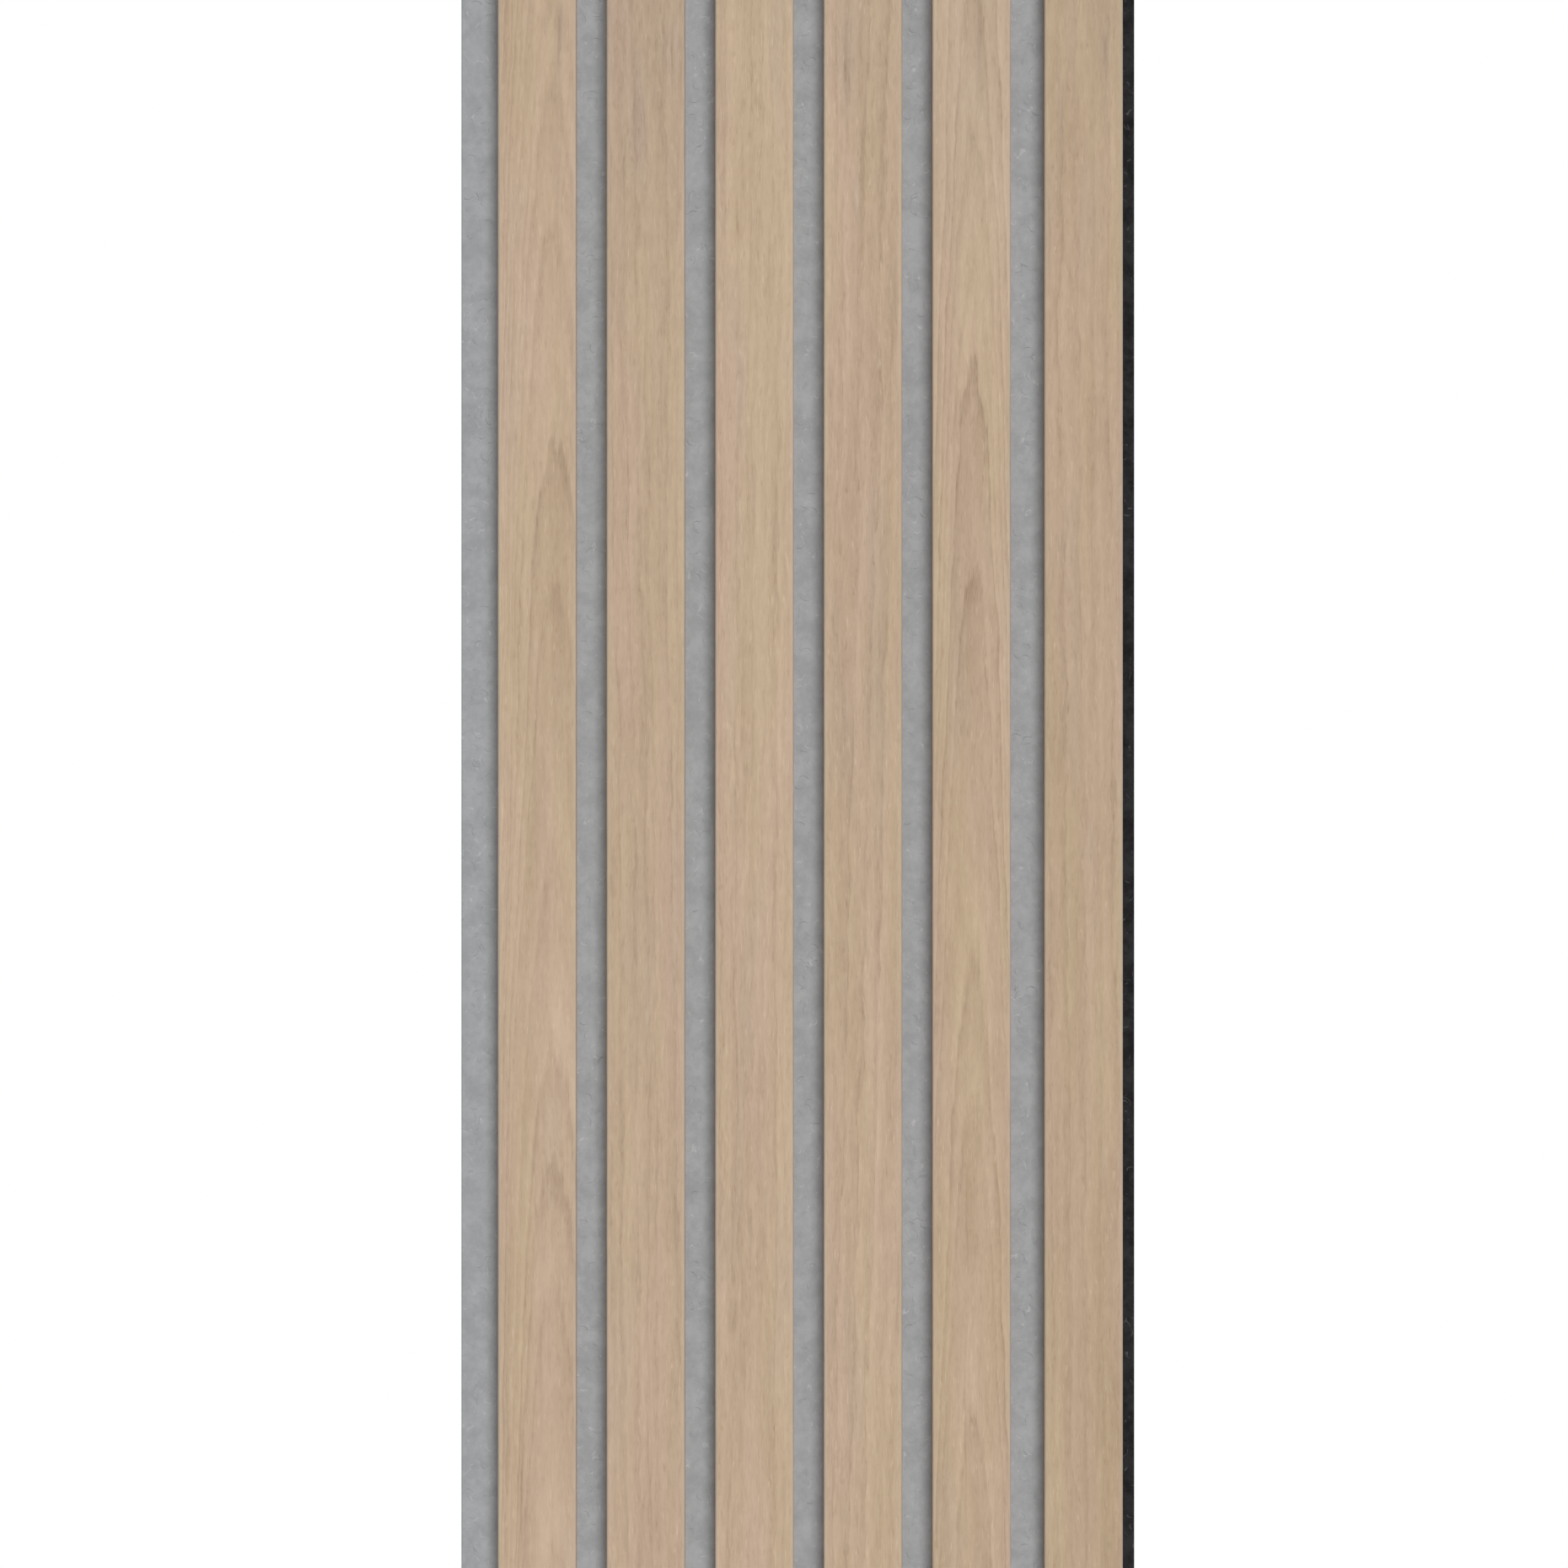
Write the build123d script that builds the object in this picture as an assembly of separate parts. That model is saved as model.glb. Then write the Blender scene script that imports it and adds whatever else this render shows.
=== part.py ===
from build123d import *
import os

# An acoustic wall panel: six veneered slats on a two-ply felt back, stapled from behind.
# Millimetres. The wall plane is Y = 0, the slats face -Y and +Z is up.
# The origin is the middle of the face that lies against the wall.

# The whole panel
panel_length = 2400.0       # both ends are cut square

# The slats and the grooves between them, from left to right
slat_count = 6
slat_width = 35.0
slat_thickness = 12.0       # core and veneer together
slat_gap = 13.3             # each groove but the last
last_gap = 14.8             # the groove beside the last slat is a little wider
left_margin = 16.5          # felt outside the first slat
lap_width = 5.5             # black board outside the last slat

# The veneer, wrapped over the face and both long sides of a slat
veneer_thickness = 0.6
edge_radius = 1.0           # the rounded front edges of a slat

# The felt back
board_thickness = 6.0       # black ply, against the wall
facing_thickness = 3.0      # grey ply, seen in the grooves

# The staples that hold each slat from behind
staple_rows = 12
row_to_end = 100.0          # from the outer rows to the panel's ends
crown_width = 12.8
wire_thickness = 0.65       # in the plane of the staple
wire_width = 0.95           # across that plane
bend_radius = 0.25          # inside the two bends
crown_sink = 0.35           # the crown is pressed this far into the board
tip_cover = 4.0             # core that is left in front of the points
tip_length = 1.2            # the chisel-cut end of a leg

# Sizes that follow
felt_thickness = board_thickness + facing_thickness
facing_width = left_margin + slat_count * slat_width + (slat_count - 2) * slat_gap + last_gap
board_width = facing_width + lap_width
panel_left = -board_width / 2
core_width = slat_width - 2 * veneer_thickness
core_thickness = slat_thickness - veneer_thickness
core_radius = edge_radius - veneer_thickness
row_spacing = (panel_length - 2 * row_to_end) / (staple_rows - 1)
leg_length = felt_thickness - crown_sink + core_thickness - tip_cover


def slat_middle(number):
    """The middle of a slat across the panel. The slats are numbered from 1, at the left."""
    first = panel_left + left_margin + slat_width / 2
    extra = last_gap - slat_gap if number == slat_count else 0.0
    return first + (number - 1) * (slat_width + slat_gap) + extra


def row_heights():
    """The heights of the rows of staples."""
    first = -panel_length / 2 + row_to_end
    return [first + row * row_spacing for row in range(staple_rows)]


def slat_outline(width, thickness, radius):
    """A slat's section, its back on the felt and its two front edges rounded."""
    middle = -felt_thickness - thickness / 2
    flat = Pos(0, middle) * Rectangle(width, thickness)
    front = flat.vertices().sort_by(Axis.Y)[:2]
    return fillet(front, radius)


def along_panel(outline):
    """A section in X and Y, run over the whole length."""
    return extrude(outline, amount=panel_length / 2, both=True)


def ply(width, thickness, back):
    """One layer of the felt, from the left side of the panel. Its back is at that Y."""
    return Pos(panel_left + width / 2, back - thickness / 2) * Box(width, thickness, panel_length)


def staple():
    """A wire staple as driven, its crown at the back and its legs pointing to the front."""
    wire = Pos(0, -leg_length / 2) * Rectangle(crown_width, leg_length)
    wire = fillet(wire.vertices().sort_by(Axis.Y)[-2:], bend_radius + wire_thickness)
    inside_width = crown_width - 2 * wire_thickness
    inside = Pos(0, -wire_thickness - leg_length / 2) * Rectangle(inside_width, leg_length)
    inside = fillet(inside.vertices().sort_by(Axis.Y)[-2:], bend_radius)
    wire -= inside
    for side in (-1, 1):
        outer = side * crown_width / 2
        inner = side * inside_width / 2
        waste = Polyline(
            (outer, -leg_length), (outer, tip_length - leg_length), (inner, -leg_length), close=True
        )
        wire -= make_face(waste)
    return Pos(0, -crown_sink) * extrude(wire, amount=wire_width / 2, both=True)


def crown_slot():
    """The slot that the crown is pressed into, open at the back."""
    depth = crown_sink + wire_thickness
    return Pos(0, -depth / 2) * Box(crown_width, depth, wire_width)


def at_every_staple(shape):
    """Copies of a shape at each row of each slat."""
    return [
        Pos(slat_middle(number), 0, height) * shape
        for number in range(1, slat_count + 1)
        for height in row_heights()
    ]


one_staple = staple()
staples = at_every_staple(one_staple)

# The felt closes round the wire of every staple.
backing_board = ply(board_width, board_thickness, 0.0) - at_every_staple(crown_slot()) - staples
felt_facing = ply(facing_width, facing_thickness, -board_thickness) - staples

core_outline = slat_outline(core_width, core_thickness, core_radius)
slat_core = along_panel(core_outline) - [Pos(0, 0, height) * one_staple for height in row_heights()]
slat_veneer = along_panel(slat_outline(slat_width, slat_thickness, edge_radius) - core_outline)

os.makedirs("parts", exist_ok=True)
export_step(backing_board, "parts/backing_board.step")
export_step(felt_facing, "parts/felt_facing.step")
export_step(Compound(children=staples), "parts/staples.step")
for number in range(1, slat_count + 1):
    place = Pos(slat_middle(number), 0, 0)
    export_step(place * slat_core, f"parts/slat_core_{number}.step")
    export_step(place * slat_veneer, f"parts/slat_veneer_{number}.step")
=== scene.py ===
import bpy
import math
import random
from functools import partial
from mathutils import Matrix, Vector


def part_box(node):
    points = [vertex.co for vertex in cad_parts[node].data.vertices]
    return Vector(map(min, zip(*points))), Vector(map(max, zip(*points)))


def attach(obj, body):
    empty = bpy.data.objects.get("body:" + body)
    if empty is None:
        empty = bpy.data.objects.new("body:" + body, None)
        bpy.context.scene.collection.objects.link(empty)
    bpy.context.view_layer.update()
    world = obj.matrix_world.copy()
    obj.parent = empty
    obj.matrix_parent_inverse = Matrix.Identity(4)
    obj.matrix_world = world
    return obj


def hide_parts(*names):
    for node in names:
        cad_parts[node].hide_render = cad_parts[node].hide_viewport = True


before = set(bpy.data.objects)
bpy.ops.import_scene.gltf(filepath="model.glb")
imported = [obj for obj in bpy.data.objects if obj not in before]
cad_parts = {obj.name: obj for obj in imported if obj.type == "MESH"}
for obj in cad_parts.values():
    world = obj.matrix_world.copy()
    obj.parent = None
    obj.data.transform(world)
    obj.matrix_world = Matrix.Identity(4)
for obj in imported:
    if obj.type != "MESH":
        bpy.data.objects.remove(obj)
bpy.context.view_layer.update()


# The backing board.
# A 6 mm board of black polyester felt, needled and pressed at the mill and sawn to size, lies
# against the wall. The crown of each staple pulls a shallow dimple into its back.

slat_numbers = range(1, 7)
staple_heights = [-1.1 + 0.2 * row for row in range(12)]
crown_width = 0.0128
soft_corner = 0.0007            # the felt's cut edges are a little rounded


def middle_of(name):
    """The middle of a CAD node's box."""
    low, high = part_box(name)
    return (low + high) / 2


slat_middles = [middle_of(f"slat_core_{number}").x for number in slat_numbers]


def paint(red, green, blue):
    """A colour as it looks on a screen, 0 to 255, turned into the light that it stands for."""
    parts = [part / 255 for part in (red, green, blue)]
    return [p / 12.92 if p <= 0.04045 else ((p + 0.055) / 1.055) ** 2.4 for p in parts] + [1.0]


def feed(tree, socket, value):
    """Sets a socket to a value, or links it to the output that is given."""
    if isinstance(value, bpy.types.NodeSocket):
        tree.links.new(value, socket)
    else:
        socket.default_value = value


def node(tree, kind, inputs=None, **settings):
    """Adds a node with its settings, and its inputs by name or number."""
    made = tree.nodes.new(kind)
    for name, value in settings.items():
        setattr(made, name, value)
    for name, value in (inputs or {}).items():
        feed(tree, made.inputs[name], value)
    return made


def maths(tree, operation, *values):
    """The result of a Math node."""
    return node(tree, "ShaderNodeMath", dict(enumerate(values)), operation=operation).outputs[0]


def ramp(tree, value, low, high, start=0.0, end=1.0):
    """A value that runs smoothly from start to end while another goes from low to high."""
    inputs = {"Value": value, "From Min": low, "From Max": high, "To Min": start, "To Max": end}
    return node(tree, "ShaderNodeMapRange", inputs, interpolation_type="SMOOTHSTEP").outputs[0]


def patches(tree, place, size, seed, detail=2.0):
    """Soft noise, around 0.5, whose patches have the given size along each axis, in metres."""
    scale = [1 / length for length in size]
    shift = [seed * 7.31] * 3
    moved = node(tree, "ShaderNodeMapping", {"Vector": place, "Location": shift, "Scale": scale})
    inputs = {"Vector": moved.outputs[0], "Scale": 1.0, "Detail": detail, "Roughness": 0.55}
    return node(tree, "ShaderNodeTexNoise", inputs).outputs[0]


def tinted(tree, share, first, second):
    """Goes from the first colour to the second by that share."""
    inputs = {0: share, 6: first, 7: second}
    return node(tree, "ShaderNodeMix", inputs, data_type="RGBA").outputs[2]


def new_material(name):
    """An empty material: its node tree and its shader."""
    material = bpy.data.materials.new(name)
    material.use_nodes = True
    shader = next(n for n in material.node_tree.nodes if n.type == "BSDF_PRINCIPLED")
    return material, material.node_tree, shader


def felt(name, dark, light, fibre, cloud_size, seed):
    """Pressed needle felt: cloudy where the fibres lie thicker, with single pale fibres on top."""
    material, tree, shader = new_material(name)
    place = node(tree, "ShaderNodeTexCoord").outputs["Object"]
    cloud = patches(tree, place, [cloud_size] * 3, seed, detail=4.0)
    small_cloud = patches(tree, place, [cloud_size / 4] * 3, seed + 1, detail=3.0)
    grain = patches(tree, place, [0.0006] * 3, seed + 2, detail=2.0)
    tone = maths(tree, "MULTIPLY_ADD", cloud, 0.55, maths(tree, "MULTIPLY", small_cloud, 0.3))
    tone = maths(tree, "MULTIPLY_ADD", grain, 0.15, tone)
    colour = tinted(tree, ramp(tree, tone, 0.36, 0.64), dark, light)

    # A fibre shows where a soft noise crosses one level, which is a thin winding line.
    winding = patches(tree, place, [0.007, 0.007, 0.009], seed + 3, detail=1.0)
    off_line = maths(tree, "ABSOLUTE", maths(tree, "SUBTRACT", winding, 0.5))
    line = ramp(tree, off_line, 0.0, 0.02, 1.0, 0.0)
    piece = ramp(tree, patches(tree, place, [0.004] * 3, seed + 4), 0.54, 0.62)
    strand = maths(tree, "MULTIPLY", line, piece)
    colour = tinted(tree, maths(tree, "MULTIPLY", strand, 0.5), colour, fibre)

    height = maths(tree, "MULTIPLY_ADD", grain, 0.5, maths(tree, "MULTIPLY", small_cloud, 0.8))
    height = maths(tree, "MULTIPLY_ADD", strand, 0.3, height)
    bump = node(tree, "ShaderNodeBump", {"Height": height, "Strength": 0.35, "Distance": 0.0006})
    feed(tree, shader.inputs["Base Color"], colour)
    feed(tree, shader.inputs["Normal"], bump.outputs[0])
    feed(tree, shader.inputs["Roughness"], ramp(tree, grain, 0.3, 0.7, 0.82, 0.98))
    shader.inputs["Specular IOR Level"].default_value = 0.15
    shader.inputs["Sheen Weight"].default_value = 0.12
    shader.inputs["Sheen Roughness"].default_value = 0.6
    return material


def grid_lines(low, high, places, steps, spacing):
    """Lines from low to high: close together at both ends and round each place, and otherwise at
    the spacing."""
    near_ends = [0.0, 0.00015, 0.0004, soft_corner]
    lines = [low + step for step in near_ends] + [high - step for step in near_ends]
    lines += [place + side * step for place in places for step in steps for side in (-1, 1)]
    lines = sorted({round(line, 6) for line in lines if low <= line <= high})
    filled = []
    for start, end in zip(lines, lines[1:]):
        parts = math.ceil((end - start) / spacing)
        filled += [start + (end - start) * part / parts for part in range(parts)]
    return filled + [high]


def rounding(x, z, low, high):
    """How far the felt's rounded edge falls back at a place."""
    inside = min(x - low.x, high.x - x, z - low.z, high.z - z)
    short = max(1 - inside / soft_corner, 0.0)
    return soft_corner * (1 - math.sqrt(1 - short * short))


def felt_board(name, across, up, front, back, hidden):
    """A closed board on grid lines across and up. front and back give the Y of its faces at a place.
    The bake map lays the faces out in four strips, one beside the other, with the two ends above
    them, and narrows the columns that are hidden."""
    rows, columns, strips = len(up), len(across), 4
    hidden_share, rim, strip_height, end_shelves = 0.03, 0.01, 0.95, (0.965, 0.985)
    mesh = bpy.data.meshes.new(name)
    points = [(x, side(x, z), z) for z in up for side in (front, back) for x in across]
    ring = [(0, column) for column in range(columns)]
    ring += [(1, column) for column in reversed(range(columns))]
    steps = list(zip(ring, ring[1:] + ring[:1]))

    def at(row, side, column):
        return (row * 2 + side) * columns + column

    around = [0.0]
    for start, end in steps:
        a, b = points[at(rows // 2, *start)], points[at(rows // 2, *end)]
        share = hidden_share if hidden((a[0] + b[0]) / 2, start[0] + end[0]) else 1.0
        around.append(around[-1] + math.hypot(a[0] - b[0], a[1] - b[1]) * share)

    faces, places = [], []
    for row in range(rows - 1):
        strip = row * strips // (rows - 1)
        first, last = (math.ceil(edge * (rows - 1) / strips) for edge in (strip, strip + 1))
        low, high = ((up[line] - up[first]) / (up[last] - up[first]) for line in (row, row + 1))
        for step, (start, end) in enumerate(steps):
            faces.append((at(row, *start), at(row, *end), at(row + 1, *end), at(row + 1, *start)))
            shares = [around[k] / around[-1] for k in (step, step + 1)]
            left, right = ((strip + rim + (1 - 2 * rim) * share) / strips for share in shares)
            lower, upper = (rim / 2 + strip_height * share for share in (low, high))
            places += [(left, lower), (right, lower), (right, upper), (left, upper)]
    width = across[-1] - across[0]
    for row, order, shelf in ((0, 1, end_shelves[0]), (rows - 1, -1, end_shelves[1])):
        for column in range(columns - 1):
            corners = [(0, column), (1, column), (1, column + 1), (0, column + 1)][::order]
            faces.append(tuple(at(row, *corner) for corner in corners))
            places += [((across[c] - across[0]) / width, shelf + rim * side) for side, c in corners]
    mesh.from_pydata(points, [], faces)
    layer = mesh.uv_layers.new(name="OFBake")
    layer.uv.foreach_set("vector", [number for place in places for number in place])
    mesh.shade_smooth()
    mesh.set_sharp_from_angle(angle=math.radians(50))
    board = bpy.data.objects.new(name, mesh)
    bpy.context.collection.objects.link(board)
    return board


black_felt = felt(
    "black felt", dark=paint(21, 21, 22), light=paint(46, 46, 48), fibre=paint(104, 105, 107),
    cloud_size=0.010, seed=11,
)
board_low, board_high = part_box("backing_board")

# How deep and how far a staple pulls the felt in: sharply at the wire, and gently round it.
dimple = [(0.0005, 0.0022), (0.00025, 0.008)]


def board_back(x, z):
    """The wall side of the board, pulled in round each staple."""
    middle = min(slat_middles, key=lambda place: abs(place - x))
    height = min(staple_heights, key=lambda place: abs(place - z))
    away = math.hypot(max(abs(x - middle) - crown_width / 2, 0.0), z - height)
    pull = sum(depth * math.exp(-((away / reach) ** 2)) for depth, reach in dimple)
    return board_high.y - pull - rounding(x, z, board_low, board_high)


def board_front(x, z):
    return board_low.y + rounding(x, z, board_low, board_high)


crown_lines = [0.0032, 0.0055, 0.0064, 0.0074, 0.0088, 0.011, 0.0145]
row_lines = [0.0, 0.0006, 0.0013, 0.0022, 0.0034, 0.0052, 0.008, 0.012]
facing_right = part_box("felt_facing")[1].x
backing_board = felt_board(
    "backing_board_felt",
    grid_lines(board_low.x, board_high.x, slat_middles, crown_lines, 0.02),
    grid_lines(board_low.z, board_high.z, staple_heights, row_lines, 0.04),
    board_front,
    board_back,
    lambda x, side: side == 0 and x < facing_right,
)
backing_board.data.materials.append(black_felt)
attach(backing_board, "root")
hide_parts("backing_board")


# The grey facing.
# A 3 mm ply of grey polyester felt is needled onto the board and stops at the last slat's right
# side. The staples draw the slats down, so the felt swells a little in each groove.

swell = 0.0003                  # in the middle of a groove
swell_run = 0.004               # from a slat's side to the full swell
slat_sides = []
for number in slat_numbers:
    low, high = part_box(f"slat_veneer_{number}")
    slat_sides += [low.x, high.x]
facing_low, facing_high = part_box("felt_facing")
free_spans = list(zip([facing_low.x] + slat_sides[1::2], slat_sides[0::2]))


def facing_front(x, z):
    """The grey face: flat under a slat and swollen between two of them."""
    rise = 0.0
    for left, right in free_spans:
        if left < x < right:
            from_foot = min(x - left, right - x) if left > facing_low.x else right - x
            rise = swell * (1 - max(1 - from_foot / swell_run, 0.0) ** 2)
    return facing_low.y - rise + rounding(x, z, facing_low, facing_high)


def facing_back(x, z):
    return facing_high.y - rounding(x, z, facing_low, facing_high)


grey_felt = felt(
    "grey felt", dark=paint(160, 162, 164), light=paint(175, 177, 179), fibre=paint(204, 205, 206),
    cloud_size=0.011, seed=3,
)
foot_lines = [0.0, 0.0006, 0.0014, 0.0026, swell_run]
felt_facing = felt_board(
    "felt_facing_ply",
    grid_lines(facing_low.x, facing_high.x, slat_sides, foot_lines, 0.008),
    grid_lines(facing_low.z, facing_high.z, [], [], 0.02),
    facing_front,
    facing_back,
    lambda x, side: side == 2 or side == 0 and not any(left < x < right for left, right in free_spans),
)
felt_facing.data.materials.append(grey_felt)
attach(felt_facing, "root")
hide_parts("felt_facing")


# The slat cores.
# Each slat is sawn from dyed medium-density fibreboard. It shows only at the two ends, where the
# saw leaves a dull face of pressed wood dust with a few paler fibres.

fibreboard, tree, shader = new_material("dyed fibreboard")
place = node(tree, "ShaderNodeTexCoord").outputs["Object"]
dust = patches(tree, place, [0.0005] * 3, 21, detail=3.0)
pressing = patches(tree, place, [0.006, 0.0018, 0.006], 22)
colour = tinted(tree, ramp(tree, pressing, 0.35, 0.65), paint(50, 46, 43), paint(66, 61, 56))
specks = maths(tree, "MULTIPLY", ramp(tree, dust, 0.60, 0.72), 0.6)
feed(tree, shader.inputs["Base Color"], tinted(tree, specks, colour, paint(112, 100, 86)))
feed(tree, shader.inputs["Roughness"], ramp(tree, dust, 0.3, 0.7, 0.78, 0.95))
bump = node(tree, "ShaderNodeBump", {"Height": dust, "Strength": 0.4, "Distance": 0.0003})
feed(tree, shader.inputs["Normal"], bump.outputs[0])
shader.inputs["Specular IOR Level"].default_value = 0.2
for number in slat_numbers:
    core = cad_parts[f"slat_core_{number}"]
    core.data.materials.clear()
    core.data.materials.append(fibreboard)


# The oak veneer.
# A sheet of crown-cut or straight-grained oak, 0.6 mm thick, is wrapped over the face and both
# long sides of each core, so its grain runs on round the small front edges. It has a matt lacquer.

slat_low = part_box("slat_veneer_1")[0]
veneer_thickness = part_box("slat_core_1")[0].x - slat_low.x
edge_radius = 0.001


def new_tree(name, inputs):
    """A Geometry Nodes tree with named inputs: the tree and its group input node."""
    tree = bpy.data.node_groups.new(name, "GeometryNodeTree")
    for label, kind in inputs.items():
        tree.interface.new_socket(label, in_out="INPUT", socket_type=kind)
    tree.interface.new_socket("Mesh", in_out="OUTPUT", socket_type="NodeSocketGeometry")
    return tree, tree.nodes.new("NodeGroupInput").outputs


def finish_tree(tree, geometry, material):
    """Ends a tree with its copies made real and their material set."""
    real = node(tree, "GeometryNodeRealizeInstances", {0: geometry}).outputs[0]
    dressed = node(tree, "GeometryNodeSetMaterial", {"Geometry": real, "Material": material}).outputs[0]
    feed(tree, tree.nodes.new("NodeGroupOutput").inputs[0], dressed)


def grown(name, tree, values, start=None):
    """The plain mesh object that a tree makes with these values."""
    piece = bpy.data.objects.new(name, start or bpy.data.meshes.new(name))
    bpy.context.collection.objects.link(piece)
    modifier = piece.modifiers.new(tree.name, "NODES")
    modifier.node_group = tree
    for socket in tree.interface.items_tree:
        if socket.in_out == "INPUT" and socket.name in values:
            modifier[socket.identifier] = values[socket.name]
    graph = bpy.context.evaluated_depsgraph_get()
    mesh = bpy.data.meshes.new_from_object(
        piece.evaluated_get(graph), preserve_all_data_layers=True, depsgraph=graph
    )
    piece.modifiers.clear()
    piece.data = mesh
    mesh.name = name
    return piece


def stored(tree, mesh, name, value, data_type, domain):
    """The mesh with a value stored on it under a name."""
    inputs = {"Geometry": mesh, "Name": name, "Value": value}
    settings = {"data_type": data_type, "domain": domain}
    return node(tree, "GeometryNodeStoreNamedAttribute", inputs, **settings).outputs[0]


def wrapped_sheet_tree():
    """A flat sheet folded round a core: over its face, round two small edges and down both sides."""
    floats = ("Width", "Depth", "Sheet thickness", "Edge radius", "Length", "Middle", "Face")
    kinds = {label: "NodeSocketFloat" for label in floats}
    kinds.update({"Columns": "NodeSocketInt", "Rows": "NodeSocketInt", "Finish": "NodeSocketMaterial"})
    tree, given = new_tree("wrapped sheet", kinds)
    m = partial(maths, tree)

    half_flat = m("SUBTRACT", m("MULTIPLY", given["Width"], 0.5), given["Edge radius"])
    arc = m("MULTIPLY", given["Edge radius"], math.pi / 2)
    side = m("SUBTRACT", given["Depth"], given["Edge radius"])
    half_girth = m("ADD", half_flat, m("ADD", arc, side))
    girth = m("MULTIPLY", half_girth, 2.0)
    size = node(tree, "ShaderNodeCombineXYZ", {0: girth, 1: given["Length"], 2: given["Sheet thickness"]})
    counts = {"Vertices X": given["Columns"], "Vertices Y": given["Rows"], "Vertices Z": 2}
    sheet = node(tree, "GeometryNodeMeshCube", {"Size": size.outputs[0], **counts}).outputs["Mesh"]
    flat = tree.nodes.new("GeometryNodeInputPosition").outputs[0]
    sheet = stored(tree, sheet, "sheet", flat, "FLOAT_VECTOR", "POINT")
    across, along, level = node(tree, "ShaderNodeSeparateXYZ", {0: flat}).outputs
    below = m("SUBTRACT", m("MULTIPLY", given["Sheet thickness"], 0.5), level)

    # The bake map lays the outside of the long sheet out in strips, over most of the map's width. Its
    # hidden inside is narrowed beside them.
    strips, outer_width, inner_width, margin = 3.0, 0.94, 0.05, 0.01

    def of_face(value):
        """The value at the middle of each face."""
        settings = {"data_type": "FLOAT", "domain": "FACE"}
        return node(tree, "GeometryNodeFieldOnDomain", {0: value}, **settings).outputs[0]

    outside = m("LESS_THAN", of_face(below), 0.00005)
    inside = m("SUBTRACT", 1.0, outside)
    up = m("MULTIPLY", m("ADD", m("DIVIDE", along, given["Length"]), 0.5), strips)
    strip = m("FLOOR", of_face(up))
    share = m("ADD", m("DIVIDE", across, girth), 0.5)
    share = m("MULTIPLY_ADD", share, 1 - 2 * margin, margin)
    in_strips = m("DIVIDE", m("ADD", strip, share), strips)
    rim = m("MULTIPLY", m("DIVIDE", below, given["Sheet thickness"]), inside)
    width = m("MULTIPLY_ADD", outside, outer_width - inner_width, inner_width)
    map_x = m("MULTIPLY_ADD", inside, outer_width + margin / 2, m("MULTIPLY", in_strips, width))
    map_x = m("ADD", map_x, m("MULTIPLY", rim, 0.004))
    map_y = m("MULTIPLY_ADD", m("SUBTRACT", up, strip), 1 - 3 * margin, margin / 2)
    map_y = m("ADD", map_y, m("MULTIPLY", rim, margin))
    on_map = node(tree, "ShaderNodeCombineXYZ", {0: map_x, 1: map_y}).outputs[0]
    sheet = stored(tree, sheet, "OFBake", on_map, "FLOAT2", "CORNER")

    from_middle = m("ABSOLUTE", across)
    past_flat = m("MAXIMUM", m("SUBTRACT", from_middle, half_flat), 0.0)
    turn = m("MINIMUM", m("DIVIDE", past_flat, given["Edge radius"]), math.pi / 2)
    down = m("MAXIMUM", m("SUBTRACT", past_flat, arc), 0.0)
    radius = m("SUBTRACT", given["Edge radius"], below)
    out = m("ADD", m("MINIMUM", from_middle, half_flat), m("MULTIPLY", radius, m("SINE", turn)))
    x = m("MULTIPLY_ADD", out, m("SIGN", across), given["Middle"])
    back = m("ADD", m("SUBTRACT", given["Edge radius"], m("MULTIPLY", radius, m("COSINE", turn))), down)
    y = m("ADD", given["Face"], back)
    folded = node(tree, "ShaderNodeCombineXYZ", {0: x, 1: y, 2: along}).outputs[0]
    sheet = node(tree, "GeometryNodeSetPosition", {"Geometry": sheet, "Position": folded}).outputs[0]
    finish_tree(tree, sheet, given["Finish"])
    return tree


def growth_rings(chosen, low, high, spacing, seed):
    """Growth rings from low to high as pairs, each one's level and how dark it is: the chosen ones, and
    fainter ones about a spacing apart."""
    chance = random.Random(seed)
    rings = sorted(chosen.items())
    while rings[0][0] > low:
        rings.insert(0, (rings[0][0] - spacing * chance.uniform(0.45, 1.55), chance.uniform(0.3, 0.85)))
    while rings[-1][0] < high:
        rings.append((rings[-1][0] + spacing * chance.uniform(0.45, 1.55), chance.uniform(0.3, 0.85)))
    return [(round(level, 3), strength) for level, strength in rings]


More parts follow.
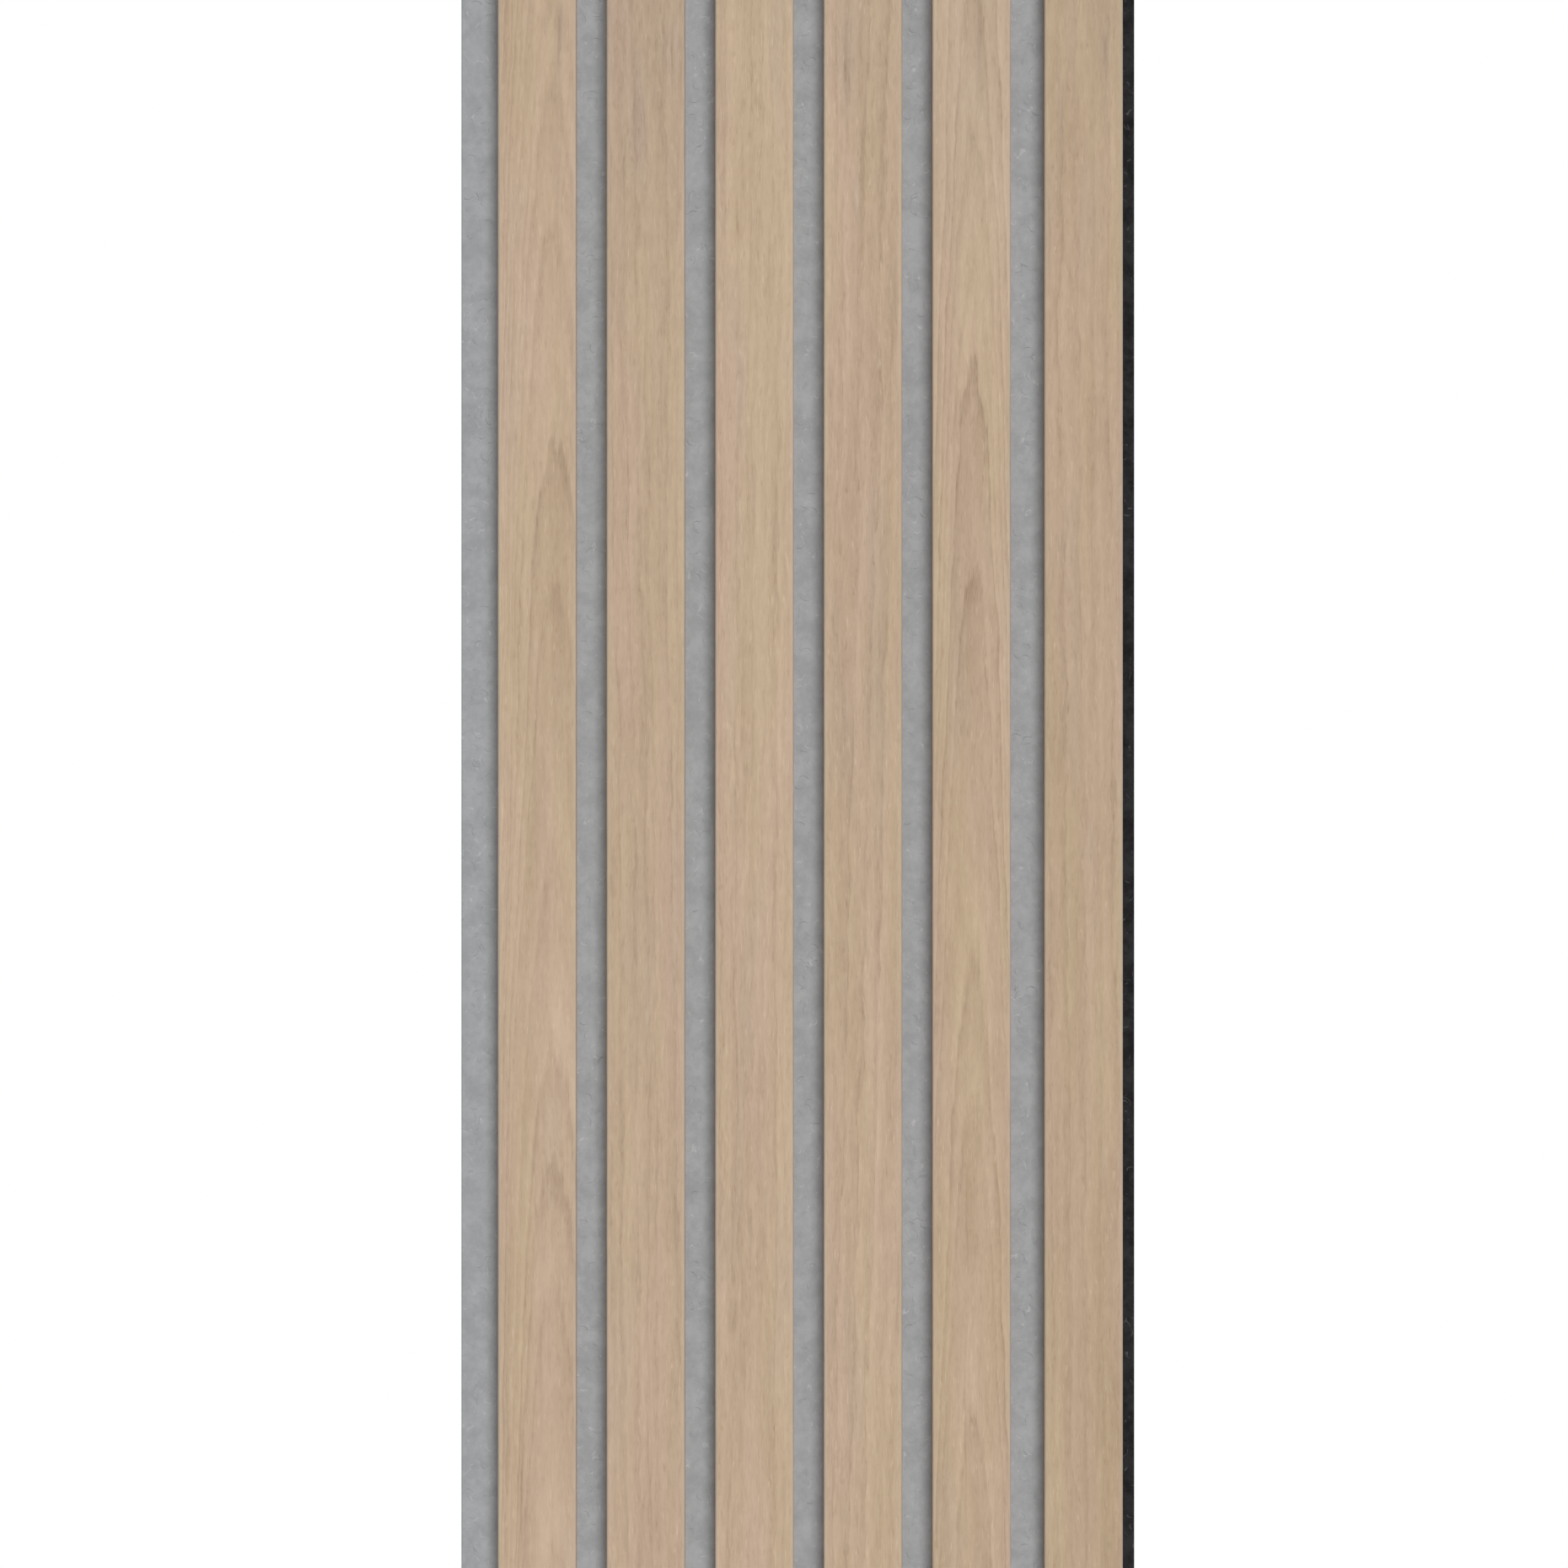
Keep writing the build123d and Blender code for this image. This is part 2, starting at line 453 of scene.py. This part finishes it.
def oak(
    number, rings, heart=0.0, bow=0.0, curl=2.0, slope=0.0, lean=0.0, wander=0.006, ragged=1.0,
    figure=0.2, fibres=0.26, tint=(0, 0, 0), streaks=(), stains=(),
):
    """Oak veneer. A growth ring starts wherever lean * height + slope * (place across) + bow *
    (millimetres from the heart line) ** curl reaches one of the rings' levels, in metres. A streak or
    a stain is given by its place across, height, half width and half length, in millimetres, and by
    how much darker or greyer it is."""
    material, tree, shader = new_material(f"oak veneer {number}")
    m = partial(maths, tree)

    def noise(place, across_mm, along_mm, step, detail=2.0):
        """Soft noise, around 0, that is stretched along the slat."""
        size = [across_mm / 1000, along_mm / 1000, 1.0]
        return m("SUBTRACT", patches(tree, place, size, 20 * number + step, detail), 0.5)

    def shade(red, green, blue):
        return paint(red + tint[0], green + tint[1], blue + tint[2])

    # The fibres don't run dead straight, and everything in the wood follows them.
    sheet = node(tree, "ShaderNodeAttribute", attribute_name="sheet").outputs["Vector"]
    across, along, _ = node(tree, "ShaderNodeSeparateXYZ", {0: sheet}).outputs
    bent = m("MULTIPLY_ADD", noise(sheet, 34, 240, 0, detail=1.0), wander, across)
    bent = m("MULTIPLY_ADD", noise(sheet, 9, 62, 1), 0.0036, bent)
    bent = m("MULTIPLY_ADD", noise(sheet, 2.6, 19, 2), 0.0026 * ragged, bent)
    grain = node(tree, "ShaderNodeCombineXYZ", {0: bent, 1: along}).outputs[0]

    def spot(place, height, half_width, half_length):
        """A soft spot that lies along the grain."""
        beside = m("ABSOLUTE", m("SUBTRACT", bent, place / 1000))
        beyond = m("ABSOLUTE", m("SUBTRACT", along, height / 1000))
        in_width = ramp(tree, beside, 0.0, half_width / 1000, 1.0, 0.0)
        in_length = ramp(tree, beyond, 0.0, half_length / 1000, 1.0, 0.0)
        return m("MULTIPLY", in_width, in_length)

    # The rings. Each starts with a dark line of open early wood, darkens the wood inside it and
    # ends pale.
    from_heart = m("MULTIPLY", m("ABSOLUTE", m("SUBTRACT", bent, heart)), 1000.0)
    level = m("MULTIPLY", m("POWER", from_heart, curl), bow)
    level = m("MULTIPLY_ADD", bent, slope, level)
    level = m("MULTIPLY_ADD", along, lean, level)
    level = m("MULTIPLY_ADD", noise(grain, 0.8, 13, 3, detail=3.0), 0.034 * ragged, level)
    level = m("MULTIPLY_ADD", noise(grain, 3.0, 45, 4), 0.06 * ragged, level)
    inside, outside = far_level, far_level
    for start, strength in rings:
        inside = m("MINIMUM", inside, m("FLOORED_MODULO", m("SUBTRACT", start, level), far_level))
        outside = m("MINIMUM", outside, m("FLOORED_MODULO", m("SUBTRACT", level, start), far_level))
    ring, own = m("ADD", level, inside), 0.0
    for start, strength in rings:
        own = m("MULTIPLY_ADD", m("COMPARE", ring, start, 0.0005), strength, own)
    begun = ramp(tree, inside, 0.0, 0.009)
    line = m("MULTIPLY", begun, ramp(tree, inside, 0.008, 0.026, 1.0, 0.0))
    body = m("MULTIPLY", begun, ramp(tree, inside, 0.010, m("MULTIPLY_ADD", own, 0.16, 0.03), 1.0, 0.0))
    early = m("MULTIPLY", own, m("MULTIPLY_ADD", line, 0.55, m("MULTIPLY", body, 0.42)))
    early = m("MULTIPLY", early, ramp(tree, noise(grain, 9, 80, 5), -0.14, 0.10, 0.45, 1.0))
    pale = m("MULTIPLY", ramp(tree, outside, 0.0, 0.007), ramp(tree, outside, 0.007, 0.045, 1.0, 0.0))

    # The fibres, from single ones to broad bands, and the pores.
    fine = noise(grain, 0.8, 16, 6, detail=3.0)
    light = m("MULTIPLY_ADD", fine, fibres, 0.665)
    for step, (width, length, weight) in enumerate(band_sizes):
        light = m("MULTIPLY_ADD", noise(grain, width, length, 7 + step), weight, light)
    for *where, weight in streaks:
        light = m("MULTIPLY_ADD", spot(*where), -weight, light)
    pores = ramp(tree, noise(grain, 0.42, 6.0, 12, detail=1.0), 0.08, 0.22)
    pores = m("MULTIPLY", pores, m("MULTIPLY_ADD", early, 0.5, 0.5))
    dashes = ramp(tree, noise(grain, 0.5, 8.0, 15, detail=1.0), 0.13, 0.24)
    light = m("MULTIPLY_ADD", early, -figure, light)
    light = m("MULTIPLY_ADD", pale, 0.25 * figure, light)
    light = m("MULTIPLY_ADD", pores, -0.20, light)
    light = m("MULTIPLY_ADD", dashes, 0.21, light)
    rosy = ramp(tree, noise(grain, 16, 200, 13, detail=1.0), -0.12, 0.12)
    grey = m("MULTIPLY_ADD", early, 0.4, ramp(tree, noise(grain, 13, 150, 14), 0.04, 0.24, 0.0, 0.6))
    for *where, weight in stains:
        grey = m("MULTIPLY_ADD", spot(*where), weight, grey)
    darkest = tinted(tree, rosy, shade(158, 130, 100), shade(160, 130, 104.5))
    darkest = tinted(tree, grey, darkest, shade(156, 130, 107))
    lightest = tinted(tree, rosy, shade(217, 193, 161.5), shade(219, 192, 166.5))
    lightest = tinted(tree, grey, lightest, shade(213, 190, 167))

    # The small front edges get a pale painted highlight, and the lacquer is dull where the pores are
    # open.
    from_middle = m("ABSOLUTE", across)
    painted_edge_highlight = ramp(tree, from_middle, 0.0154, 0.0167)
    painted_edge_highlight = m("MULTIPLY", painted_edge_highlight, ramp(tree, from_middle, 0.0172, 0.0184, 0.34, 0.0))
    # The pale painted highlight on the rounded edges is mixed into the wood's colour here.
    colour = tinted(tree, painted_edge_highlight, tinted(tree, light, darkest, lightest), shade(200, 186, 168))
    feed(tree, shader.inputs["Base Color"], colour)

    height = m("MULTIPLY_ADD", pores, -0.8, m("MULTIPLY", fine, 0.25))
    height = m("MULTIPLY_ADD", early, -0.25, height)
    bump = node(tree, "ShaderNodeBump", {"Height": height, "Strength": 0.25, "Distance": 0.0002})
    feed(tree, shader.inputs["Normal"], bump.outputs[0])
    rough = m("MULTIPLY_ADD", pores, 0.18, ramp(tree, fine, -0.2, 0.2, 0.50, 0.60))
    feed(tree, shader.inputs["Roughness"], rough)
    shader.inputs["Specular IOR Level"].default_value = 0.3
    return material


# Slats 1 and 5 are cut through the crown of the log and show tall flames, whose tips are the
# chosen levels; the others have straight or slightly leaning grain.
far_level = 10.0                # more than any two levels differ by
band_sizes = [(1.7, 3.5, 0.16), (1.9, 11, 0.33), (3.2, 60, 0.27), (9, 150, 0.25), (26, 320, 0.26)]
flames_1 = growth_rings(
    {0.252: 0.6, 0.188: 0.4, 0.159: 1.1, 0.092: 0.9, -0.030: 0.4, -0.120: 0.8, -0.165: 0.9},
    low=-1.25, high=1.7, spacing=0.09, seed=1,
)
flames_5 = growth_rings(
    {0.365: 0.8, 0.300: 0.6, 0.236: 0.4, 0.194: 1.0, 0.102: 0.9, -0.074: 0.8, -0.142: 0.7},
    low=-1.25, high=1.9, spacing=0.12, seed=5,
)
lines_2 = growth_rings({0.0: 0.6}, low=-0.45, high=0.45, spacing=0.034, seed=2)
lines_3 = growth_rings({0.0: 0.6}, low=-0.45, high=0.45, spacing=0.045, seed=3)
lines_4 = growth_rings(
    {-0.135: 0.6, -0.053: 0.9, 0.027: 1.0, 0.091: 0.7}, low=-0.62, high=0.62, spacing=0.06, seed=4
)
lines_6 = growth_rings({0.0: 0.6}, low=-0.45, high=0.45, spacing=0.055, seed=6)
streaks_1 = [
    (11, 333, 1.6, 22, 0.30), (-7, -300, 1.0, 60, 0.12), (-14, 320, 9, 90, 0.10),
    (-10, 170, 14, 90, -0.07), (9, 65, 15, 130, 0.09), (11, -120, 16, 130, -0.06),
    (-16, -150, 8, 160, 0.06), (-2, -255, 6, 70, 0.06), (-4, 260, 8, 120, -0.07),
]
streaks_2 = [
    (-9, 332, 0.9, 16, 0.16), (-3, 295, 2.6, 22, 0.16), (11, 325, 1.2, 14, 0.28),
    (10, 195, 0.8, 14, 0.18), (0, 350, 60, 200, 0.06), (6, 120, 14, 110, 0.05),
    (-10, -290, 12, 130, -0.03),
]
streaks_3 = [
    (-7, 250, 0.9, 12, 0.24), (1, 300, 1.6, 14, 0.12), (14, 70, 12, 150, 0.06),
    (-5, -330, 10, 60, 0.06),
]
streaks_4 = [
    (-6.5, 320, 1.8, 16, 0.18), (-2, 260, 0.9, 9, -0.22), (6, 125, 0.9, 12, 0.30),
    (-5, 345, 14, 60, 0.06), (8, 150, 8, 120, 0.04), (14, -70, 12, 190, 0.10),
]
streaks_5 = [
    (3.5, 328, 2.0, 40, 0.15), (-2, -195, 0.9, 26, 0.22), (-2.5, -285, 0.8, 70, 0.22),
    (0, 330, 40, 210, -0.10), (1, 60, 14, 170, 0.07), (15, -240, 12, 280, 0.06),
    (2, -170, 16, 190, 0.06),
]
streaks_6 = [
    (9, 327, 2.2, 9, 0.16), (-11, 300, 0.7, 22, -0.16), (-3, -75, 1.2, 18, 0.05),
    (0, 360, 60, 90, 0.07), (-2, 190, 20, 110, -0.04), (12, -290, 14, 200, 0.08),
    (-14, -330, 10, 80, -0.12),
]
stains_1 = [(11, 333, 3, 35, 0.9)]
stains_2 = [(-3, 295, 6, 45, 0.9), (11, 325, 5, 30, 0.5), (0, 350, 60, 130, 0.4)]
stains_4 = [(-6.5, 320, 5, 32, 0.9), (-2, 260, 2, 16, 1.2), (-5, 345, 14, 60, 0.4)]
stains_5 = [(0, 330, 40, 170, 0.5), (3.5, 328, 4, 50, 0.3)]
stains_6 = [(9, 327, 5, 18, 0.8), (-11, 300, 3, 32, 0.5), (0, 360, 60, 90, 0.25)]
oak_of_slat = {
    1: oak(
        1, flames_1, heart=0.0078, bow=0.000215, curl=2.4, lean=1.0, ragged=0.6, figure=0.30,
        fibres=0.12, streaks=streaks_1, stains=stains_1,
    ),
    2: oak(
        2, lines_2, slope=10.0, lean=0.12, figure=0.28, tint=(-2.5, -2.5, -1.5),
        streaks=streaks_2, stains=stains_2,
    ),
    3: oak(3, lines_3, slope=10.0, lean=-0.08, figure=0.26, tint=(0.5, 0.5, 1), streaks=streaks_3),
    4: oak(4, lines_4, slope=10.0, lean=-0.26, figure=0.26, streaks=streaks_4, stains=stains_4),
    5: oak(
        5, flames_5, heart=0.0007, bow=0.001, lean=1.0, wander=0.004, ragged=0.6, figure=0.33,
        fibres=0.15, tint=(-0.5, -0.5, -1), streaks=streaks_5, stains=stains_5,
    ),
    6: oak(
        6, lines_6, slope=10.0, lean=0.1, figure=0.24, tint=(-5, -5, -6),
        streaks=streaks_6, stains=stains_6,
    ),
}
wrapped_sheet = wrapped_sheet_tree()
for number in slat_numbers:
    low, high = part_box(f"slat_veneer_{number}")
    values = {
        "Width": high.x - low.x,
        "Depth": high.y - low.y,
        "Sheet thickness": veneer_thickness,
        "Edge radius": edge_radius,
        "Length": high.z - low.z,
        "Middle": (low.x + high.x) / 2,
        "Face": low.y,
        "Columns": 150,
        "Rows": 25,
        "Finish": oak_of_slat[number],
    }
    veneer = grown(f"slat_veneer_{number}_sheet", wrapped_sheet, values)
    veneer.data.shade_smooth()
    veneer.data.set_sharp_from_angle(angle=math.radians(40))
    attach(veneer, "root")
    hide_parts(f"slat_veneer_{number}")


# The staples.
# Galvanised wire staples are shot through both felts into the cores from behind, twelve to a
# slat. Only the flattened crowns and the tops of the legs show.

staples_low, staples_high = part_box("staples")


def rounded_off(tree, curve, radius, steps):
    """The curve with each corner turned into an arc of so many steps."""
    inputs = {"Curve": curve, "Radius": radius, "Count": steps}
    return node(tree, "GeometryNodeFilletCurve", inputs, mode="POLY").outputs[0]


def swept(tree, path, section):
    """The section run along the path and closed at both ends."""
    inputs = {"Curve": path, "Profile Curve": section, "Fill Caps": True}
    return node(tree, "GeometryNodeCurveToMesh", inputs).outputs[0]


def staple_tree():
    """A wire bent into a staple and set at each point of the mesh that the tree is given."""
    floats = ("Crown width", "Leg length", "Wire thickness", "Wire width")
    kinds = {"Points": "NodeSocketGeometry"}
    kinds.update({label: "NodeSocketFloat" for label in floats})
    kinds["Finish"] = "NodeSocketMaterial"
    tree, given = new_tree("staples", kinds)
    m = partial(maths, tree)

    # The wire runs through four points, up one leg, along the crown and down the other leg.
    number = tree.nodes.new("GeometryNodeInputIndex").outputs[0]
    half = m("MULTIPLY", m("SUBTRACT", given["Crown width"], given["Wire thickness"]), 0.5)
    right = m("GREATER_THAN", number, 1.5)
    x = m("MULTIPLY", m("MULTIPLY_ADD", right, 2.0, -1.0), half)
    tip = m("GREATER_THAN", m("ABSOLUTE", m("SUBTRACT", number, 1.5)), 1.0)
    y = m("MULTIPLY", m("MULTIPLY", tip, given["Leg length"]), -1.0)
    corner = node(tree, "ShaderNodeCombineXYZ", {0: x, 1: y}).outputs[0]
    corners = node(tree, "GeometryNodePoints", {"Count": 4, "Position": corner}).outputs[0]
    path = node(tree, "GeometryNodePointsToCurves", {0: corners}).outputs[0]
    path = rounded_off(tree, path, m("MULTIPLY", given["Wire thickness"], 0.85), 5)
    section = node(
        tree,
        "GeometryNodeCurvePrimitiveQuadrilateral",
        {"Width": given["Wire thickness"], "Height": given["Wire width"]},
    ).outputs[0]
    section = rounded_off(tree, section, m("MULTIPLY", given["Wire thickness"], 0.3), 3)
    wire = swept(tree, path, section)
    wire = node(tree, "GeometryNodeSetShadeSmooth", {0: wire, "Shade Smooth": True}).outputs[0]
    inputs = {"Points": given["Points"], "Instance": wire}
    placed = node(tree, "GeometryNodeInstanceOnPoints", inputs).outputs[0]
    finish_tree(tree, placed, given["Finish"])
    return tree


galvanised, tree, shader = new_material("galvanised wire")
place = node(tree, "ShaderNodeTexCoord").outputs["Object"]
drawn = patches(tree, place, [0.004, 0.0004, 0.0002], 91, detail=2.0)
bloom = patches(tree, place, [0.0015] * 3, 92, detail=3.0)
colour = tinted(tree, ramp(tree, bloom, 0.35, 0.65), paint(172, 174, 176), paint(206, 208, 210))
feed(tree, shader.inputs["Base Color"], colour)
feed(tree, shader.inputs["Roughness"], ramp(tree, bloom, 0.3, 0.7, 0.28, 0.46))
bump = node(tree, "ShaderNodeBump", {"Height": drawn, "Strength": 0.3, "Distance": 0.00005})
feed(tree, shader.inputs["Normal"], bump.outputs[0])
shader.inputs["Metallic"].default_value = 1.0

wire_thickness = 0.00065
crown_middle = staples_high.y - wire_thickness / 2
shots = [(middle, crown_middle, height) for middle in slat_middles for height in staple_heights]
shot_points = bpy.data.meshes.new("shot points")
shot_points.from_pydata(shots, [], [])
staples = grown(
    "staple_wires",
    staple_tree(),
    {
        "Crown width": crown_width,
        "Leg length": crown_middle - staples_low.y,
        "Wire thickness": wire_thickness,
        "Wire width": staples_high.z - staples_low.z - (staple_heights[-1] - staple_heights[0]),
        "Finish": galvanised,
    },
    start=shot_points,
)
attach(staples, "root")
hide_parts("staples")


# The loose fibres.
# Cut and needled felt always sheds a little. Single fibres curl on the grey face in the grooves
# and on the black board's ledge and back, each held at one place by the needling.


def fibre_tree():
    """Fibres strewn over the faces of the mesh that the tree is given, each one bent its own way."""
    floats = ("Per square metre", "Length", "Thickness", "Lift")
    kinds = {"Faces": "NodeSocketGeometry"}
    kinds.update({label: "NodeSocketFloat" for label in floats})
    kinds.update({"Seed": "NodeSocketInt", "Finish": "NodeSocketMaterial"})
    tree, given = new_tree("loose fibres", kinds)
    m = partial(maths, tree)

    def point(x=0.0, y=0.0, z=0.0):
        """A point, or a turn by three angles, or three factors."""
        return node(tree, "ShaderNodeCombineXYZ", {0: x, 1: y, 2: z}).outputs[0]

    def chance(low, high, seed):
        """A random number for each fibre."""
        inputs = {2: low, 3: high, 8: seed}
        return node(tree, "FunctionNodeRandomValue", inputs, data_type="FLOAT").outputs[1]

    strewn = node(
        tree,
        "GeometryNodeDistributePointsOnFaces",
        {"Mesh": given["Faces"], "Density": given["Per square metre"], "Seed": given["Seed"]},
    )
    half = m("MULTIPLY", given["Length"], 0.5)
    inputs = {
        "Resolution": 6,
        "Start": point(x=m("MULTIPLY", half, -1.0)),
        "Middle": point(y=m("MULTIPLY", half, 0.9), z=given["Lift"]),
        "End": point(x=half, z=given["Lift"]),
    }
    bow = node(tree, "GeometryNodeCurveQuadraticBezier", inputs).outputs[0]
    round_wire = node(
        tree,
        "GeometryNodeCurvePrimitiveCircle",
        {"Resolution": 3, "Radius": m("MULTIPLY", given["Thickness"], 0.5)},
    ).outputs[0]
    turned = point(z=chance(0.0, 2 * math.pi, given["Seed"]))
    facing = node(
        tree,
        "FunctionNodeRotateRotation",
        {"Rotation": strewn.outputs["Rotation"], "Rotate By": turned},
        rotation_space="LOCAL",
    ).outputs[0]
    longer = chance(0.4, 1.5, m("ADD", given["Seed"], 1.0))
    inputs = {
        "Points": strewn.outputs["Points"],
        "Instance": swept(tree, bow, round_wire),
        "Rotation": facing,
        "Scale": point(x=longer, y=longer, z=1.0),
    }
    placed = node(tree, "GeometryNodeInstanceOnPoints", inputs).outputs[0]
    finish_tree(tree, placed, given["Finish"])
    return tree


def fibre_finish(name, dull, bright, seed):
    """A single polyester fibre, pale against the felt and slightly glossy."""
    material, tree, shader = new_material(name)
    place = node(tree, "ShaderNodeTexCoord").outputs["Object"]
    batch = patches(tree, place, [0.006] * 3, seed)
    feed(tree, shader.inputs["Base Color"], tinted(tree, ramp(tree, batch, 0.35, 0.65), dull, bright))
    feed(tree, shader.inputs["Roughness"], ramp(tree, batch, 0.3, 0.7, 0.45, 0.65))
    return material


def flat_faces(name, rectangles):
    """A mesh of flat four-cornered faces."""
    mesh = bpy.data.meshes.new(name)
    points = [corner for rectangle in rectangles for corner in rectangle]
    mesh.from_pydata(points, [], [tuple(range(k, k + 4)) for k in range(0, len(points), 4)])
    return mesh


def upright(left, right, y, low, high):
    """The corners of a face that looks to the front."""
    return [(left, y, low), (right, y, low), (right, y, high), (left, y, high)]


ends = (facing_low.z + 0.004, facing_high.z - 0.004)
groove_faces = [
    upright(left + 0.0025, right - 0.0025, facing_low.y - swell, *ends) for left, right in free_spans
]
ledge = upright(facing_right + 0.001, board_high.x - 0.0025, board_low.y, *ends)
wall_side = upright(board_low.x + 0.004, board_high.x - 0.004, board_high.y - 0.0001, *ends)[::-1]
loose_fibres = fibre_tree()
grey_fibre = fibre_finish("grey fibre", paint(166, 167, 168), paint(192, 193, 194), 95)
black_fibre = fibre_finish("lint", paint(78, 80, 83), paint(122, 124, 128), 97)
for name, faces, density, length, finish, slot, seed in (
    ("groove_fibres", groove_faces, 22000.0, 0.0032, grey_fibre, "grey_felt", 5),
    ("ledge_lint", [ledge], 7000.0, 0.0038, black_fibre, "black_felt", 6),
    ("back_lint", [wall_side], 3500.0, 0.0060, black_fibre, "black_felt", 7),
):
    fibres = grown(
        name,
        loose_fibres,
        {
            "Per square metre": density,
            "Length": length,
            "Thickness": 0.00012,
            "Lift": 0.0002,
            "Seed": seed,
            "Finish": finish,
        },
        start=flat_faces(name, faces),
    )
    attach(fibres, "root")


# The studio.
# A pale floor under the lower end, a soft key light from the right, a weak light from the front
# that fills the grooves, and two lights from behind that reach only the sides and the back.

floor_mesh = bpy.data.meshes.new("floor")
floor_radius, rim_points = 12.0, 64
turns = [math.tau * k / rim_points for k in range(rim_points)]
rim = [(floor_radius * math.cos(turn), floor_radius * math.sin(turn), board_low.z) for turn in turns]
floor_mesh.from_pydata(rim, [], [tuple(range(rim_points))])
floor = bpy.data.objects.new("floor", floor_mesh)
bpy.context.collection.objects.link(floor)
floor_finish, tree, shader = new_material("studio floor")
place = node(tree, "ShaderNodeTexCoord").outputs["Object"]
cloudy = patches(tree, place, [0.8] * 3, 99)
feed(tree, shader.inputs["Base Color"], tinted(tree, cloudy, paint(232, 232, 232), paint(240, 240, 240)))
shader.inputs["Roughness"].default_value = 0.85
floor_mesh.materials.append(floor_finish)


def sun(name, right, height, energy, softness):
    """A far light, by its angle to the right of the panel's front, its height and its softness, all
    in degrees."""
    data = bpy.data.lights.new(name, "SUN")
    data.energy = energy
    data.angle = math.radians(softness)
    light = bpy.data.objects.new(name, data)
    light.rotation_euler = (math.radians(90 - height), 0.0, math.radians(right))
    bpy.context.collection.objects.link(light)


sun("key", right=14.2, height=24, energy=1.84, softness=29)
sun("groove fill", right=0, height=8, energy=0.45, softness=4)
sun("rear left", right=-125, height=15, energy=1.3, softness=20)
sun("rear right", right=125, height=15, energy=1.1, softness=20)

world = bpy.data.worlds.new("studio")
bpy.context.scene.world = world
world.use_nodes = True
tree = world.node_tree
tree.nodes.clear()
white = [1.0, 1.0, 1.0, 1.0]
seen = node(tree, "ShaderNodeLightPath").outputs["Is Camera Ray"]
around = node(tree, "ShaderNodeBackground", {"Color": white, "Strength": 0.05}).outputs[0]
behind = node(tree, "ShaderNodeBackground", {"Color": white, "Strength": 1.0}).outputs[0]
mixed = node(tree, "ShaderNodeMixShader", {0: seen, 1: around, 2: behind}).outputs[0]
node(tree, "ShaderNodeOutputWorld", {"Surface": mixed})
bpy.context.scene.view_settings.view_transform = "Standard"


# The camera.
# It looks square at the slats from far off, with the panel's middle in height at the picture's
# middle and both ends outside the picture.

picture_width = 0.6975          # of the slats' front plane, in metres
distance = 6.0
aim = -0.0062                   # the picture's middle is a little left of the panel's
camera_data = bpy.data.cameras.new("camera")
camera_data.sensor_width = 36.0
camera_data.lens = camera_data.sensor_width * distance / picture_width
camera_data.clip_end = 100.0
camera = bpy.data.objects.new("camera", camera_data)
camera.location = (aim, slat_low.y - distance, 0.0)
camera.rotation_euler = (math.radians(90), 0.0, 0.0)
bpy.context.collection.objects.link(camera)
bpy.context.scene.camera = camera
